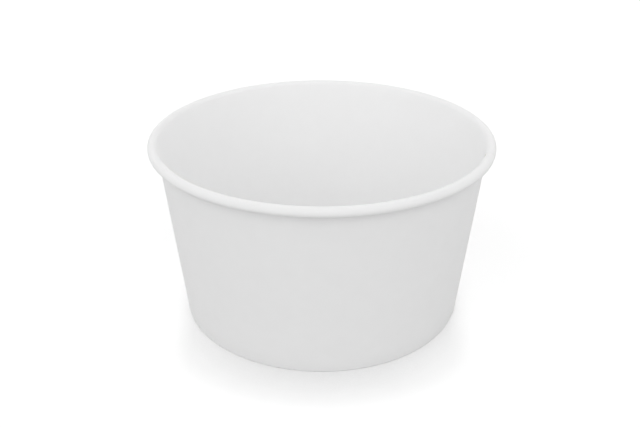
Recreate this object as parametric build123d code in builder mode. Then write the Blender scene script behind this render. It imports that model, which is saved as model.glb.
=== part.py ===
"""Disposable salad bowl of white paperboard, open at the top, in millimetres.

Two pieces, heat-sealed together:
  side_wall   one blank wrapped into a cone and lapped along a side seam, its top edge rolled
              outward into the rim and its bottom edge folded up inside the foot as a hem
  floor_disc  one disc drawn into a shallow pan, its skirt held between the wall and the hem

The origin is the centre of the foot on the table. +Z points up, along the axis of the cone.
"""

import os
from math import acos, asin, atan2, cos, degrees, hypot, radians, sin, tan

from build123d import *

# Overall sizes
rim_diameter = 150.0
foot_diameter = 125.0
bowl_height = 81.0

# Paperboard, and the melted coating that seals one ply to the next
wall_board = 0.45
floor_board = 0.40
seal_film = 0.02

# Rolled rim: over the roll, and between its cut edge and the wall
roll_diameter = 4.3
roll_gap = 0.25

# Foot: the hem's height, its fold, and the room above its cut edge
hem_height = 7.0
fold_inner_share = 0.2
hem_headroom = 1.5

# Floor disc: the bend into its skirt, and the room under the skirt
bend_inner_radius = 0.6
skirt_gap = 0.3

# Side seam: the lap, how far it stands proud after pressing, and how deep the outer ply lands
seam_width = 9.0
seam_step = 0.3
seam_sink_share = 0.12
seam_azimuth = -14.0

# Places that follow from the sizes above
rim_radius = rim_diameter / 2
foot_radius = foot_diameter / 2
roll_radius = roll_diameter / 2
roll_centre = (rim_radius - roll_radius, bowl_height - roll_radius)
ply_gap = floor_board + 2 * seal_film
hem_depth = 2 * wall_board + ply_gap
fold_outer_radius = wall_board + fold_inner_share * ply_gap
floor_underside = hem_height + hem_headroom
skirt_depth = wall_board + seal_film
skirt_bottom = wall_board + skirt_gap
lap_bottom = 2 * fold_outer_radius
lap_top = bowl_height - roll_diameter

# The wall's outer face runs from the foot to the inside of the roll, tangent to it
roll_run = roll_centre[0] - foot_radius
lean = degrees(
    atan2(roll_run, roll_centre[1])
    - asin((roll_radius - wall_board) / hypot(roll_run, roll_centre[1]))
)

# The roll turns until its cut edge comes back to within its gap of the wall
roll_turn = 180 + degrees(acos((wall_board + roll_gap) / roll_radius - 1))


def face_radius(height, depth):
    """Radius, at a height, of the conical face that lies a depth inside the wall's outer face."""
    return foot_radius + height * tan(radians(lean)) - depth / cos(radians(lean))


def wall_face(inset):
    """One face of the wall's blank, an inset in from its outer face, and its ends at hem and roll."""
    roll = CenterArc(roll_centre, roll_radius - wall_board + inset, 180 - lean, -roll_turn)
    sheet = FilletPolyline(
        (face_radius(hem_height, hem_depth - inset), hem_height),
        (face_radius(inset, hem_depth - inset), inset),
        (face_radius(inset, inset), inset),
        roll @ 0,
        radius=fold_outer_radius - inset,
    )
    return sheet @ 0, roll @ 1


def floor_face(inset):
    """One face of the floor's blank, an inset in from its outer face, and its ends at axis and skirt."""
    top = floor_underside + floor_board - inset
    sheet = FilletPolyline(
        (0, top),
        (face_radius(top, skirt_depth + inset), top),
        (face_radius(skirt_bottom, skirt_depth + inset), skirt_bottom),
        radius=bend_inner_radius + floor_board - inset,
    )
    return sheet @ 0, sheet @ 1


def plan_point(radius, azimuth):
    """Point of a horizontal section at a radius and an azimuth in degrees."""
    return (radius * cos(radians(azimuth)), radius * sin(radians(azimuth)))


def seam_section(height):
    """Radii and azimuths of the seam at a height.

    The outer ply lies proud over the lap. From the inner ply's cut edge it runs straight, until it
    touches the landing radius, a little under the wall's outer face.
    """
    proud = face_radius(height, -seam_step)
    landing = face_radius(height, seam_sink_share * wall_board)
    half_lap = degrees(seam_width / 2 / face_radius(height, 0))
    outer_edge = seam_azimuth + half_lap
    inner_edge = seam_azimuth - half_lap
    return proud, landing, outer_edge, inner_edge, inner_edge - degrees(acos(landing / proud))


def lap_section(height):
    """Section of the outer ply over the lap, from the middle of the wall so that the two fuse."""
    proud, landing, outer_edge, inner_edge, ramp_end = seam_section(height)
    middle = face_radius(height, wall_board / 2)
    with BuildSketch(Plane.XY.offset(height)) as section:
        with BuildLine():
            CenterArc((0, 0), middle, ramp_end, outer_edge - ramp_end)
            Line(plan_point(middle, outer_edge), plan_point(proud, outer_edge))
            CenterArc((0, 0), proud, inner_edge, outer_edge - inner_edge)
            Polyline(
                plan_point(proud, inner_edge),
                plan_point(landing, ramp_end),
                plan_point(middle, ramp_end),
            )
        make_face()
    return section.sketch


def step_section(height):
    """Section of the wedge that the inner ply leaves open beyond its cut edge."""
    _, _, _, inner_edge, ramp_end = seam_section(height)
    clear = face_radius(height, wall_board + seam_step)
    stepped = face_radius(height, wall_board - seam_step)
    with BuildSketch(Plane.XY.offset(height)) as section:
        with BuildLine():
            Polyline(
                plan_point(clear, inner_edge),
                plan_point(stepped, inner_edge),
                plan_point(clear, ramp_end),
                close=True,
            )
        make_face()
    return section.sketch


os.makedirs("parts", exist_ok=True)

# Side wall: the blank's section from the hem's cut edge to the end of the roll, then the lapped seam
with BuildPart() as side_wall:
    with BuildSketch(Plane.XZ):
        with BuildLine():
            outer_hem, outer_end = wall_face(0)
            inner_hem, inner_end = wall_face(wall_board)
            Line(outer_hem, inner_hem)
            Line(outer_end, inner_end)
        make_face()
    revolve(axis=Axis.Z)
    loft([lap_section(lap_bottom), lap_section(lap_top)], ruled=True)
    loft([step_section(lap_bottom), step_section(lap_top)], ruled=True, mode=Mode.SUBTRACT)

side_wall.part.label = "side_wall"
export_step(side_wall.part, "parts/side_wall.step")

# Floor disc: a flat floor bent down all round into a skirt that follows the wall
with BuildPart() as floor_disc:
    with BuildSketch(Plane.XZ):
        with BuildLine():
            top_centre, top_end = floor_face(0)
            under_centre, under_end = floor_face(floor_board)
            Line(top_centre, under_centre)
            Line(top_end, under_end)
        make_face()
    revolve(axis=Axis.Z)

floor_disc.part.label = "floor_disc"
export_step(floor_disc.part, "parts/floor_disc.step")
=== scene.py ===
"""Disposable salad bowl of white coated paperboard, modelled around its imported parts.

Metres, +Z up, the same frame as the parts: the foot stands on z = 0 round the origin.
Both pieces are sheets of board. Each is drawn as the face of the sheet that food touches, and is
then given the thickness of its board.
"""

from math import asin, atan2, cos, hypot, pi, radians, sin, tan

import bmesh
import bpy
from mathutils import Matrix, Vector


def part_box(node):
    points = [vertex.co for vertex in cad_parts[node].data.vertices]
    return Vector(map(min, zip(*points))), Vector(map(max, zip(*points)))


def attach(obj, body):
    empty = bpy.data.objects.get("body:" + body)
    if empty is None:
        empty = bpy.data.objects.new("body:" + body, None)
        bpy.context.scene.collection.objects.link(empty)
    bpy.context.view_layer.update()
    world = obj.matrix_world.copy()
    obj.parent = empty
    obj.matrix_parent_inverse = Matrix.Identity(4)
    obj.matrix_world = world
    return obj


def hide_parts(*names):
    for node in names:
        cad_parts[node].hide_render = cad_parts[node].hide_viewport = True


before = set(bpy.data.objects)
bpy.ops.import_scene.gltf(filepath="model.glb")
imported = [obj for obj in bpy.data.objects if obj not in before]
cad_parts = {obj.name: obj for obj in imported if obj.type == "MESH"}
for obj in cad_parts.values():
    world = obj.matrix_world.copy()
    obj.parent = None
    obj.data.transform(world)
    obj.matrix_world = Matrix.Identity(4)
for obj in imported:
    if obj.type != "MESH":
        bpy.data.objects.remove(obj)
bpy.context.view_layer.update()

# Overall sizes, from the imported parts
MM = 0.001
rim_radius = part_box("side_wall")[1].x
bowl_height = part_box("side_wall")[1].z
floor_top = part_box("floor_disc")[1].z
skirt_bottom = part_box("floor_disc")[0].z

# Board and its seals
foot_radius = 62.5 * MM
wall_board = 0.45 * MM
floor_board = 0.40 * MM
seal_film = 0.02 * MM

# Rolled rim
roll_radius = 2.15 * MM
roll_steps = 26
roll_turn = radians(308)
roll_centre = Vector((rim_radius - roll_radius, 0, bowl_height - roll_radius))

# Hem folded up round the floor's skirt, with the ribs that the sealing roller presses into it
hem_height = 7.0 * MM
hem_depth = wall_board + floor_board + 2 * seal_film
hem_cuts = 8
fold_inner_radius = 0.088 * MM
fold_segments = 4
rib_depth = 0.25 * MM
rib_low = 1.0 * MM
rib_high = 6.5 * MM

# Columns round the wall: a ramp rises over one board, and the lap lies on the wall's first columns
wall_columns = 512
ramp_columns = 8
lap_columns = 11
wall_cuts = 12
seam_step = 0.3 * MM
roll_step = 0.04 * MM
seam_azimuth = radians(-14)

# Floor disc: the bend into its skirt, and the puckers that drawing it leaves there
floor_columns = 360
bend_radius = 1.0 * MM
bend_segments = 6
ring_width = 14 * MM
floor_rings = 3
pucker_depth = 0.08 * MM

# Edges sharper than this stay creased
crease_angle = radians(35)

# Worked out from these
column_turn = 2 * pi / wall_columns
pressed_board = (wall_board + seam_step) / 2
roll_run = roll_centre.x - foot_radius
roll_reach = hypot(roll_run, roll_centre.z)
lean = atan2(roll_run, roll_centre.z) - asin((roll_radius - wall_board) / roll_reach)


def face_radius(height, depth):
    """Radius, at a height, of the conical face that lies a depth inside the wall's outer face."""
    return foot_radius + height * tan(lean) - depth / cos(lean)


def radius_of(point):
    """Distance of a point from the bowl's axis."""
    return hypot(point.x, point.y)


def azimuth_of(point):
    """Azimuth of a point, from 0 to a full turn."""
    return atan2(point.y, point.x) % (2 * pi)


# Steps that both pieces are modelled with


def pick(kind, test):
    """Selects, in edit mode, only the verts, edges or faces whose middle and number pass a test."""
    bpy.ops.mesh.select_mode(type={"verts": "VERT", "edges": "EDGE", "faces": "FACE"}[kind])
    bpy.ops.mesh.select_all(action="DESELECT")
    mesh = bpy.context.object.data
    shape = bmesh.from_edit_mesh(mesh)
    shape.verts.index_update()
    shape.faces.index_update()
    for item in getattr(shape, kind):
        corners = [item] if kind == "verts" else item.verts
        middle = sum((corner.co for corner in corners), Vector()) / len(corners)
        item.select_set(test(middle, item.index))
    bmesh.update_edit_mesh(mesh)


def start_piece(name):
    """Goes into edit mode on the primitive that was just added, all of it selected."""
    bpy.context.object.name = name
    bpy.ops.object.mode_set(mode="EDIT")
    bpy.ops.mesh.select_all(action="SELECT")
    return bpy.context.object


def weigh(piece, name, weight):
    """A vertex group whose weights a function gives for each vertex."""
    group = piece.vertex_groups.new(name=name)
    for vertex in piece.data.vertices:
        group.add([vertex.index], weight(vertex), "REPLACE")


def apply_modifier(piece, kind, **settings):
    """Adds a modifier with its settings and applies it."""
    modifier = piece.modifiers.new(kind, kind)
    for name, value in settings.items():
        setattr(modifier, name, value)
    bpy.ops.object.modifier_apply(modifier=kind)


def press(piece, group, depth):
    """Presses a vertex group in along the normals."""
    apply_modifier(piece, "DISPLACE", vertex_group=group, mid_level=0, strength=-depth)


def thicken(piece, board, group=""):
    """Gives the sheet its board: its other face and its cut edges take the next materials."""
    apply_modifier(piece, "SOLIDIFY", thickness=board, offset=-1, use_even_offset=True,
                   vertex_group=group, material_offset=1, material_offset_rim=2)


def finish_piece(piece, node):
    """Smooths a finished piece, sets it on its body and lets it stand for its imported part."""
    piece.vertex_groups.clear()
    bpy.ops.object.shade_smooth_by_angle(angle=crease_angle)
    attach(piece, "root")
    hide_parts(node)


# Side wall


def extrude_through(*points):
    """Extrudes the selected vertex from the first point through the others."""
    for start, end in zip(points, points[1:]):
        bpy.ops.mesh.extrude_region_move(TRANSFORM_OT_translate={"value": end - start})


def draw_wall_section():
    """The sheet's inner face in section: down the hem, under the fold, up the wall, over the roll."""
    hem_top = Vector((face_radius(hem_height, hem_depth), 0, hem_height))
    hem_foot = Vector((face_radius(wall_board, hem_depth), 0, wall_board))
    wall_foot = Vector((face_radius(wall_board, wall_board), 0, wall_board))
    wall_top = roll_centre + roll_radius * Vector((-cos(lean), 0, sin(lean)))
    bpy.ops.mesh.merge(type="CENTER")
    bpy.ops.transform.translate(value=hem_top)
    extrude_through(hem_top, hem_foot, wall_foot, wall_top)
    bpy.ops.mesh.spin(steps=roll_steps, angle=roll_turn, center=roll_centre, axis=(0, -1, 0))
    for corner, turn in ((hem_foot, pi / 2 + lean), (wall_foot, pi / 2 - lean)):
        pick("verts", lambda middle, number: (middle - corner).length < fold_inner_radius)
        setback = fold_inner_radius * tan(turn / 2)
        bpy.ops.mesh.bevel(offset=setback, segments=fold_segments, affect="VERTICES")
    for low, high, cuts in ((wall_foot, wall_top, wall_cuts), (hem_foot, hem_top, hem_cuts)):
        halfway = (low + high) / 2
        pick("edges", lambda middle, number: (middle - halfway).length < wall_board)
        bpy.ops.mesh.subdivide(number_cuts=cuts)
    bpy.ops.mesh.select_all(action="SELECT")


def above_hem(point):
    """True on the wall and the roll, false on the fold and the hem."""
    between_plies = face_radius(point.z, (wall_board + hem_depth) / 2)
    return point.z > 2 * wall_board and radius_of(point) > between_plies


def onto_roll(point):
    """Share of the way that a point of the inner face has left the wall for the roll."""
    away = (radius_of(point) - face_radius(point.z, wall_board)) * cos(lean)
    return min(1, max(0, away / wall_board))


def past_ramp(point):
    """Share of the ramp that a point of the last columns has passed, one on the lap."""
    ramp_turn = ramp_columns * column_turn
    return min(1, (azimuth_of(point) + ramp_turn) % (2 * pi) / ramp_turn)


def wrap_wall(piece):
    """Turns the section about the axis, past a full turn. Returns where the last columns begin."""
    whole_columns = wall_columns - ramp_columns
    last_columns = ramp_columns + lap_columns
    bpy.ops.mesh.spin(steps=whole_columns, angle=whole_columns * column_turn, axis=(0, 0, -1))
    piece.update_from_editmode()
    first_vertex, first_face = len(piece.data.vertices), len(piece.data.polygons)
    bpy.ops.mesh.spin(steps=last_columns, angle=last_columns * column_turn, axis=(0, 0, -1))

    # The lap carries no hem: its blank is notched there, so that one hem goes round the foot
    notch = 1 - 1 / ramp_columns
    pick("faces", lambda middle, number: number >= first_face and past_ramp(middle) > notch
         and not above_hem(middle))
    bpy.ops.mesh.delete(type="FACE")
    bpy.ops.mesh.select_all(action="SELECT")
    bpy.ops.mesh.normals_make_consistent(inside=False)
    return first_vertex


def make_side_wall(inner_face, outer_face, cut_edge):
    """The wall's blank, wrapped into a cone, lapped at its seam, hemmed and rolled."""
    bpy.ops.mesh.primitive_plane_add(size=MM)
    piece = start_piece("side_wall_board")
    draw_wall_section()
    last_start = wrap_wall(piece)
    bpy.ops.object.mode_set(mode="OBJECT")
    for material in (inner_face, outer_face, cut_edge):
        piece.data.materials.append(material)

    def under_ply(point):
        """Thickness of the lap's inner ply, pressed thinner where it is rolled with the other."""
        return pressed_board + (roll_step - pressed_board) * onto_roll(point)

    def lapped(vertex):
        """Share of a board that a vertex of the last columns is lifted by, to clear the inner ply."""
        passed = past_ramp(vertex.co)
        lifted = vertex.index >= last_start and (passed == 1 or above_hem(vertex.co))
        return passed * (under_ply(vertex.co) + seal_film) / wall_board if lifted else 0

    def board_share(vertex):
        """Share of its thickness that the board keeps."""
        if vertex.index >= last_start:
            return 1 - past_ramp(vertex.co) * (1 - pressed_board / wall_board)
        under_lap = azimuth_of(vertex.co) < (lap_columns + 1 / 2) * column_turn
        return under_ply(vertex.co) / wall_board if under_lap and above_hem(vertex.co) else 1

    def rib(vertex):
        """One in the furrows between the ribs, on the face of the hem that the axis sees."""
        furrow = round(azimuth_of(vertex.co) / column_turn) // 2 % 2
        hem_middle = face_radius(vertex.co.z, hem_depth + wall_board / 2)
        on_face = radius_of(vertex.co) < hem_middle
        return furrow if on_face and rib_low < vertex.co.z < rib_high else 0

    weigh(piece, "lap", lapped)
    weigh(piece, "board", board_share)
    press(piece, "lap", wall_board)
    thicken(piece, wall_board, "board")
    weigh(piece, "ribs", rib)
    press(piece, "ribs", rib_depth)
    piece.rotation_euler.z = seam_azimuth - lap_columns * column_turn / 2
    bpy.ops.object.transform_apply(rotation=True)
    finish_piece(piece, "side_wall")


# Floor disc


def make_floor_disc(upper_face, under_face, cut_edge):
    """The floor's round blank, its edge drawn down into the skirt that the hem holds."""
    skirt_depth = wall_board + seal_film
    top_radius = face_radius(floor_top, skirt_depth)
    narrowing = face_radius(skirt_bottom, skirt_depth) / top_radius
    bpy.ops.mesh.primitive_circle_add(vertices=floor_columns, radius=top_radius, fill_type="NGON")
    piece = start_piece("floor_disc_board")
    bpy.ops.transform.translate(value=(0, 0, floor_top))
    pick("edges", lambda middle, number: True)
    down = Vector((0, 0, skirt_bottom - floor_top))
    bpy.ops.mesh.extrude_edges_move(TRANSFORM_OT_translate={"value": down})
    bpy.ops.transform.resize(value=(narrowing, narrowing, 1), center_override=(0, 0, skirt_bottom))
    pick("edges", lambda middle, number: middle.z > floor_top - floor_board)
    setback = bend_radius * tan((pi / 2 + lean) / 2)
    bpy.ops.mesh.bevel(offset=setback, segments=bend_segments, affect="EDGES")
    pick("faces", lambda middle, number: radius_of(middle) < bend_radius)
    for ring in range(floor_rings):
        bpy.ops.mesh.inset(thickness=ring_width)
    bpy.ops.mesh.poke()
    bpy.ops.mesh.select_all(action="SELECT")
    bpy.ops.mesh.normals_make_consistent(inside=False)
    bpy.ops.object.mode_set(mode="OBJECT")
    for material in (upper_face, under_face, cut_edge):
        piece.data.materials.append(material)

    def pucker(vertex):
        """One in every second pair of columns of the bend."""
        column = round(azimuth_of(vertex.co) * floor_columns / (2 * pi))
        past_flat = radius_of(vertex.co) > top_radius - setback / 2
        above_skirt = vertex.co.z > floor_top - setback
        return column // 2 % 2 if past_flat and above_skirt else 0

    weigh(piece, "puckers", pucker)
    press(piece, "puckers", pucker_depth)
    thicken(piece, floor_board)
    finish_piece(piece, "floor_disc")


# Materials


def linear(colour):
    """Linear RGBA of an sRGB hex colour."""
    parts = [int(colour[start:start + 2], 16) / 255 for start in (1, 3, 5)]
    return [c / 12.92 if c <= 0.04045 else ((c + 0.055) / 1.055) ** 2.4 for c in parts] + [1]


def add_node(tree, kind, settings={}, links={}):
    """Adds a node, sets its options and sockets, and links other nodes' outputs into it."""
    node = tree.nodes.new("ShaderNode" + kind)
    sockets = {socket.identifier: socket for socket in node.inputs}
    for name, value in settings.items():
        if name in sockets:
            sockets[name].default_value = value
        else:
            setattr(node, name, value)
    for name, output in links.items():
        tree.links.new(output, sockets[name])
    return node


def new_tree(owner):
    """The emptied node tree of a material or a world."""
    owner.use_nodes = True
    owner.node_tree.nodes.clear()
    return owner.node_tree


# Noise in the board: its usual range, and the detail of its clouds and its fibres
noise_low = 0.3
noise_high = 0.7
cloud_detail = 3.0
fibre_detail = 2.0


def make_board(name, light, dark, cloud, grain, relief, smoothest, roughest):
    """Paperboard: clouds of fibre shade its colour, and a fine grain gives its relief and sheen."""
    material = bpy.data.materials.new(name)
    tree = new_tree(material)
    place = add_node(tree, "TexCoord").outputs["Object"]
    clouds = add_node(tree, "TexNoise", {"Scale": 1 / cloud, "Detail": cloud_detail}, {"Vector": place})
    fibres = add_node(tree, "TexNoise", {"Scale": 1 / grain, "Detail": fibre_detail}, {"Vector": place})
    colour = add_node(tree, "Mix", {
        "data_type": "RGBA", "A_Color": linear(dark), "B_Color": linear(light),
    }, {"Factor_Float": clouds.outputs["Fac"]})
    sheen = add_node(tree, "MapRange", {
        "From Min": noise_low, "From Max": noise_high, "To Min": smoothest, "To Max": roughest,
    }, {"Value": fibres.outputs["Fac"]})
    bump = add_node(tree, "Bump", {
        "Strength": 1.0, "Distance": relief,
    }, {"Height": fibres.outputs["Fac"]})
    shader = add_node(tree, "BsdfPrincipled", {"IOR": 1.5}, {
        "Base Color": colour.outputs["Result"],
        "Roughness": sheen.outputs["Result"],
        "Normal": bump.outputs["Normal"],
    })
    add_node(tree, "OutputMaterial", {}, {"Surface": shader.outputs["BSDF"]})
    return material


# Bleached board under a clear polyethylene film: a clean white with a satin sheen and the faint
# orange peel of the extruded film
film_face = make_board("polyethylene_coated_paperboard", "#f7f7f7", "#f5f5f5", 7 * MM, 1.1 * MM,
                       0.006 * MM, 0.55, 0.65)
# Bleached board with a clay coating, calendered matt: even, with a faint cloud of its fibres
clay_face = make_board("clay_coated_paperboard", "#f7f7f7", "#f4f4f4", 6 * MM, 0.5 * MM,
                       0.006 * MM, 0.75, 0.85)
# The same board left bare: mottled and dull
bare_face = make_board("uncoated_paperboard", "#f1f0ed", "#e9e8e4", 4 * MM, 0.4 * MM,
                       0.012 * MM, 0.75, 0.90)
# Where the blank was die-cut the fibres stand open: a little darker and warmer, and quite matt
raw_edge = make_board("die_cut_paperboard_edge", "#efede8", "#e2dfd8", 0.8 * MM, 0.15 * MM,
                      0.02 * MM, 0.85, 1.0)

make_side_wall(film_face, clay_face, raw_edge)
make_floor_disc(film_face, bare_face, raw_edge)

# Camera, at the photograph's viewing angle
look_at = Vector((-0.77, 0, 41.69)) * MM
camera_distance = 396.5 * MM
camera_elevation = radians(26.74)
camera_lens = 49
camera_sensor = 36
camera_back = Vector((0, -cos(camera_elevation), sin(camera_elevation)))
bpy.ops.object.camera_add(location=look_at + camera_back * camera_distance,
                          rotation=(pi / 2 - camera_elevation, 0, 0))
camera = bpy.context.object
camera.data.lens = camera_lens
camera.data.sensor_width = camera_sensor
bpy.context.scene.camera = camera

# Studio floor: a hair below the foot, and open inside it but for a narrow lip
studio_radius = 4.0
studio_drop = 0.01 * MM
studio_lip = 0.2 * MM

# Its white: the camera sees it lifted to full white, and the bowl gets the light of a pale grey from it
studio_white = "#ffffff"
studio_lift = 0.16
bounced_grey = "#c8c8c8"

# Its painted shade in front of the bowl, a grey in its colour: as wide as the foot, soft at both ends,
# turned as if lit from behind
painted_shade_grey = "#c6c6c6"
shade_length = 26 * MM
shade_edge = 8 * MM
shade_samples = 4
painted_shade_facing = {"X": 0.0, "Y": 0.9, "Z": 0.44}


def seen_directly(tree):
    """One for what the camera sees, also in gloss or through clear pieces, zero for light on the bowl."""
    rays = add_node(tree, "LightPath").outputs
    mirrored = add_node(tree, "Math", {"operation": "MAXIMUM"}, {
        "Value": rays["Is Glossy Ray"], "Value_001": rays["Is Transmission Ray"],
    })
    seen = add_node(tree, "Math", {"operation": "MAXIMUM"}, {
        "Value": rays["Is Camera Ray"], "Value_001": mirrored.outputs["Value"],
    })
    return seen.outputs["Value"]


def painted_shade_in_front(tree):
    """White, with a painted shade: grey mixed into its colour in front of the bowl, where the bowl would
    hide light from above and behind.
    """
    source = add_node(tree, "CombineXYZ", painted_shade_facing)
    open_sky = add_node(tree, "AmbientOcclusion", {
        "samples": shade_samples, "Distance": shade_length,
    }, {"Normal": source.outputs["Vector"]})
    place = add_node(tree, "TexCoord").outputs["Object"]
    across = add_node(tree, "SeparateXYZ", {}, {"Vector": place})
    aside = add_node(tree, "Math", {"operation": "ABSOLUTE"}, {"Value": across.outputs["X"]})
    ahead = add_node(tree, "MapRange", {
        "interpolation_type": "SMOOTHSTEP", "To Min": 1.0, "To Max": 0.0,
        "From Min": foot_radius - shade_edge, "From Max": foot_radius + shade_edge,
    }, {"Value": aside.outputs["Value"]})
    open_there = add_node(tree, "Mix", {"A_Float": 1.0}, {
        "Factor_Float": ahead.outputs["Result"], "B_Float": open_sky.outputs["AO"],
    })
    shaded = add_node(tree, "Mix", {
        "data_type": "RGBA", "A_Color": linear(painted_shade_grey), "B_Color": linear(studio_white),
    }, {"Factor_Float": open_there.outputs["Result"]})
    return shaded.outputs["Result"]


def make_studio_white():
    """Matt white on its upper face, with the painted shade in its colour, and clear from below, so that
    light reaches the foot's recess.
    """
    material = bpy.data.materials.new("white_studio_floor")
    tree = new_tree(material)
    seen = seen_directly(tree)
    # What the camera sees takes the painted shade; the light sent back onto the bowl takes the plain grey
    tone = add_node(tree, "Mix", {"data_type": "RGBA", "A_Color": linear(bounced_grey)}, {
        "Factor_Float": seen, "B_Color": painted_shade_in_front(tree),
    })
    matt = add_node(tree, "BsdfDiffuse", {}, {"Color": tone.outputs["Result"]})
    lift = add_node(tree, "Math", {"operation": "MULTIPLY", "Value_001": studio_lift}, {"Value": seen})
    glow = add_node(tree, "Emission", {}, {"Strength": lift.outputs["Value"]})
    upper = add_node(tree, "AddShader", {}, {
        "Shader": matt.outputs["BSDF"], "Shader_001": glow.outputs["Emission"],
    })
    lower = add_node(tree, "BsdfTransparent")
    side = add_node(tree, "NewGeometry")
    both = add_node(tree, "MixShader", {}, {
        "Fac": side.outputs["Backfacing"],
        "Shader": upper.outputs["Shader"],
        "Shader_001": lower.outputs["BSDF"],
    })
    add_node(tree, "OutputMaterial", {}, {"Surface": both.outputs["Shader"]})
    return material


bpy.ops.mesh.primitive_circle_add(vertices=floor_columns, radius=studio_radius, fill_type="NGON")
floor = start_piece("studio_floor")
bpy.ops.mesh.inset(thickness=studio_radius - (foot_radius - studio_lip))
bpy.ops.mesh.delete(type="ONLY_FACE")
bpy.ops.mesh.select_all(action="SELECT")
bpy.ops.transform.translate(value=(0, 0, -studio_drop))
bpy.ops.object.mode_set(mode="OBJECT")
floor.data.materials.append(make_studio_white())

# Light: a ring of soft light round the bowl, weaker near the floor and weakest overhead. The ring's
# places are sines of the elevation
ring_start = sin(radians(20))
ring_full = sin(radians(30))
ring_fade = sin(radians(49))
ring_end = sin(radians(64))
ring_light = 1.27
low_light = 0.79
overhead_share = 0.16
seen_light = 1.0

# Lamps: tilt and turn in degrees, strength, and width in degrees. One stands high in front, the other
# below, where it reaches only the recess of the foot
front_lamp = (50, -12, 0.38, 70)
recess_lamp = (130, 60, 0.6, 25)


def light_surround():
    """The ring of light for the bowl, plain white for the camera."""
    surround = bpy.data.worlds.new("white_surround")
    bpy.context.scene.world = surround
    tree = new_tree(surround)
    direction = add_node(tree, "TexCoord").outputs["Generated"]
    height = add_node(tree, "SeparateXYZ", {}, {"Vector": direction}).outputs["Z"]
    rise = add_node(tree, "MapRange", {
        "From Min": ring_start, "From Max": ring_full, "To Min": low_light, "To Max": ring_light,
    }, {"Value": height})
    fall = add_node(tree, "MapRange", {
        "interpolation_type": "SMOOTHSTEP", "To Min": 1.0, "To Max": overhead_share,
        "From Min": ring_fade, "From Max": ring_end,
    }, {"Value": height})
    ring = add_node(tree, "Math", {"operation": "MULTIPLY"}, {
        "Value": rise.outputs["Result"], "Value_001": fall.outputs["Result"],
    })
    fill = add_node(tree, "Background", {"Color": linear(studio_white)}, {
        "Strength": ring.outputs["Value"],
    })
    white = add_node(tree, "Background", {"Color": linear(studio_white), "Strength": seen_light})
    mixed = add_node(tree, "MixShader", {}, {
        "Fac": seen_directly(tree),
        "Shader": fill.outputs["Background"],
        "Shader_001": white.outputs["Background"],
    })
    add_node(tree, "OutputWorld", {}, {"Surface": mixed.outputs["Shader"]})


light_surround()
for tilt, turn, strength, width in (front_lamp, recess_lamp):
    bpy.ops.object.light_add(type="SUN", rotation=(radians(tilt), 0, radians(turn)))
    bpy.context.object.data.energy = strength
    bpy.context.object.data.angle = radians(width)

bpy.context.scene.view_settings.view_transform = "Standard"
